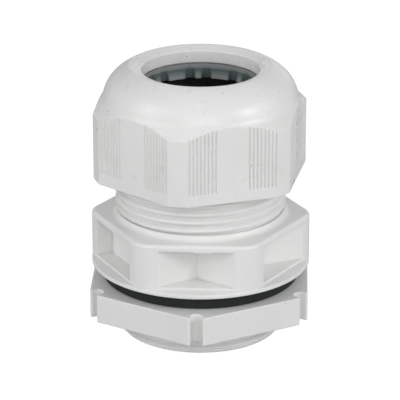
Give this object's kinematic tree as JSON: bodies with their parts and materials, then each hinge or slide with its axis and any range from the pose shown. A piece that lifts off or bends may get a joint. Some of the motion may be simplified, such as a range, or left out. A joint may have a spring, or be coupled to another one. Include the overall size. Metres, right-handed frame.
{
  "type": "cable gland",
  "caption": "Plastic cable gland: domed clamping nut, rubber seal with bending fingers, flanged hexagonal body, flat gasket and hexagonal lock nut on a threaded entry.",
  "frame": {"origin": "centre of the flange's underside, where the gland seals on the panel", "axes": "+Z along the cable axis from the entry thread towards the dome nut; -Y is the front"},
  "size_m": [0.0526, 0.0576, 0.0656],
  "materials": {
    "body_plastic": "satin",
    "finger_plastic": "satin",
    "seal_rubber": "matte",
    "nut_plastic": "satin",
    "gasket_rubber": "matte",
    "locknut_plastic": "satin"
  },
  "bodies": {
    "gland": {"gland_body": "body_plastic"},
    "seal": {"seal_insert": "seal_rubber"},
    "nut": {"dome_nut": "nut_plastic"},
    "gasket": {"flange_gasket": "gasket_rubber"},
    "locknut": {"lock_nut": "locknut_plastic"},
    "finger_01": {"clamp_finger_01": "finger_plastic"},
    "finger_02": {"clamp_finger_02": "finger_plastic"},
    "finger_03": {"clamp_finger_03": "finger_plastic"},
    "finger_04": {"clamp_finger_04": "finger_plastic"},
    "finger_05": {"clamp_finger_05": "finger_plastic"},
    "finger_06": {"clamp_finger_06": "finger_plastic"},
    "finger_07": {"clamp_finger_07": "finger_plastic"},
    "finger_08": {"clamp_finger_08": "finger_plastic"},
    "finger_09": {"clamp_finger_09": "finger_plastic"},
    "finger_10": {"clamp_finger_10": "finger_plastic"},
    "finger_11": {"clamp_finger_11": "finger_plastic"},
    "finger_12": {"clamp_finger_12": "finger_plastic"},
    "finger_13": {"clamp_finger_13": "finger_plastic"},
    "finger_14": {"clamp_finger_14": "finger_plastic"},
    "finger_15": {"clamp_finger_15": "finger_plastic"},
    "finger_16": {"clamp_finger_16": "finger_plastic"}
  },
  "joints": [
    {"name": "nut_travel", "type": "slide", "parent": "gland", "child": "seal", "axis": [0, 0, 1], "range_m": [-0.006, 0], "deforming": ["seal_insert"]},
    {"name": "nut_turn", "type": "hinge", "parent": "seal", "child": "nut", "pos_m": [0, 0, 0.03], "axis": [0, 0, 1], "range_deg": [-1080, 0]},
    {"name": "lock_travel", "type": "slide", "parent": "gland", "child": "gasket", "axis": [0, 0, 1], "range_m": [-0.012, 0]},
    {"name": "lock_turn", "type": "hinge", "parent": "gasket", "child": "locknut", "pos_m": [0, 0, -0.007], "axis": [0, 0, 1], "range_deg": [-2880, 0]},
    {"name": "finger_01_bend", "type": "hinge", "parent": "gland", "child": "finger_01", "pos_m": [0.00079, -0.01813, 0.0283], "axis": [-0.999, -0.0436, 0], "range_deg": [0, 25.05]},
    {"name": "finger_02_bend", "type": "hinge", "parent": "gland", "child": "finger_02", "pos_m": [0.00767, -0.01645, 0.0283], "axis": [-0.9063, -0.4226, 0], "range_deg": [0, 25.05]},
    {"name": "finger_03_bend", "type": "hinge", "parent": "gland", "child": "finger_03", "pos_m": [0.01338, -0.01226, 0.0283], "axis": [-0.6756, -0.7373, 0], "range_deg": [0, 25.05]},
    {"name": "finger_04_bend", "type": "hinge", "parent": "gland", "child": "finger_04", "pos_m": [0.01706, -0.00621, 0.0283], "axis": [-0.342, -0.9397, 0], "range_deg": [0, 25.05]},
    {"name": "finger_05_bend", "type": "hinge", "parent": "gland", "child": "finger_05", "pos_m": [0.01813, 0.00079, 0.0283], "axis": [0.0436, -0.999, 0], "range_deg": [0, 25.05]},
    {"name": "finger_06_bend", "type": "hinge", "parent": "gland", "child": "finger_06", "pos_m": [0.01645, 0.00767, 0.0283], "axis": [0.4226, -0.9063, 0], "range_deg": [0, 25.05]},
    {"name": "finger_07_bend", "type": "hinge", "parent": "gland", "child": "finger_07", "pos_m": [0.01226, 0.01338, 0.0283], "axis": [0.7373, -0.6756, 0], "range_deg": [0, 25.05]},
    {"name": "finger_08_bend", "type": "hinge", "parent": "gland", "child": "finger_08", "pos_m": [0.00621, 0.01706, 0.0283], "axis": [0.9397, -0.342, 0], "range_deg": [0, 25.05]},
    {"name": "finger_09_bend", "type": "hinge", "parent": "gland", "child": "finger_09", "pos_m": [-0.00079, 0.01813, 0.0283], "axis": [0.999, 0.0436, 0], "range_deg": [0, 25.05]},
    {"name": "finger_10_bend", "type": "hinge", "parent": "gland", "child": "finger_10", "pos_m": [-0.00767, 0.01645, 0.0283], "axis": [0.9063, 0.4226, 0], "range_deg": [0, 25.05]},
    {"name": "finger_11_bend", "type": "hinge", "parent": "gland", "child": "finger_11", "pos_m": [-0.01338, 0.01226, 0.0283], "axis": [0.6756, 0.7373, 0], "range_deg": [0, 25.05]},
    {"name": "finger_12_bend", "type": "hinge", "parent": "gland", "child": "finger_12", "pos_m": [-0.01706, 0.00621, 0.0283], "axis": [0.342, 0.9397, 0], "range_deg": [0, 25.05]},
    {"name": "finger_13_bend", "type": "hinge", "parent": "gland", "child": "finger_13", "pos_m": [-0.01813, -0.00079, 0.0283], "axis": [-0.0436, 0.999, 0], "range_deg": [0, 25.05]},
    {"name": "finger_14_bend", "type": "hinge", "parent": "gland", "child": "finger_14", "pos_m": [-0.01645, -0.00767, 0.0283], "axis": [-0.4226, 0.9063, 0], "range_deg": [0, 25.05]},
    {"name": "finger_15_bend", "type": "hinge", "parent": "gland", "child": "finger_15", "pos_m": [-0.01226, -0.01338, 0.0283], "axis": [-0.7373, 0.6756, 0], "range_deg": [0, 25.05]},
    {"name": "finger_16_bend", "type": "hinge", "parent": "gland", "child": "finger_16", "pos_m": [-0.00621, -0.01706, 0.0283], "axis": [-0.9397, 0.342, 0], "range_deg": [0, 25.05]}
  ],
  "couplings": [
    {"joint": "nut_turn", "follows": "nut_travel", "rad_per_m": 3141.6},
    {"joint": "lock_turn", "follows": "lock_travel", "rad_per_m": 4188.8},
    {"joint": "finger_01_bend", "follows": "nut_travel", "rad_per_m": -72.722},
    {"joint": "finger_02_bend", "follows": "nut_travel", "rad_per_m": -72.722},
    {"joint": "finger_03_bend", "follows": "nut_travel", "rad_per_m": -72.722},
    {"joint": "finger_04_bend", "follows": "nut_travel", "rad_per_m": -72.722},
    {"joint": "finger_05_bend", "follows": "nut_travel", "rad_per_m": -72.722},
    {"joint": "finger_06_bend", "follows": "nut_travel", "rad_per_m": -72.722},
    {"joint": "finger_07_bend", "follows": "nut_travel", "rad_per_m": -72.722},
    {"joint": "finger_08_bend", "follows": "nut_travel", "rad_per_m": -72.722},
    {"joint": "finger_09_bend", "follows": "nut_travel", "rad_per_m": -72.722},
    {"joint": "finger_10_bend", "follows": "nut_travel", "rad_per_m": -72.722},
    {"joint": "finger_11_bend", "follows": "nut_travel", "rad_per_m": -72.722},
    {"joint": "finger_12_bend", "follows": "nut_travel", "rad_per_m": -72.722},
    {"joint": "finger_13_bend", "follows": "nut_travel", "rad_per_m": -72.722},
    {"joint": "finger_14_bend", "follows": "nut_travel", "rad_per_m": -72.722},
    {"joint": "finger_15_bend", "follows": "nut_travel", "rad_per_m": -72.722},
    {"joint": "finger_16_bend", "follows": "nut_travel", "rad_per_m": -72.722}
  ]
}
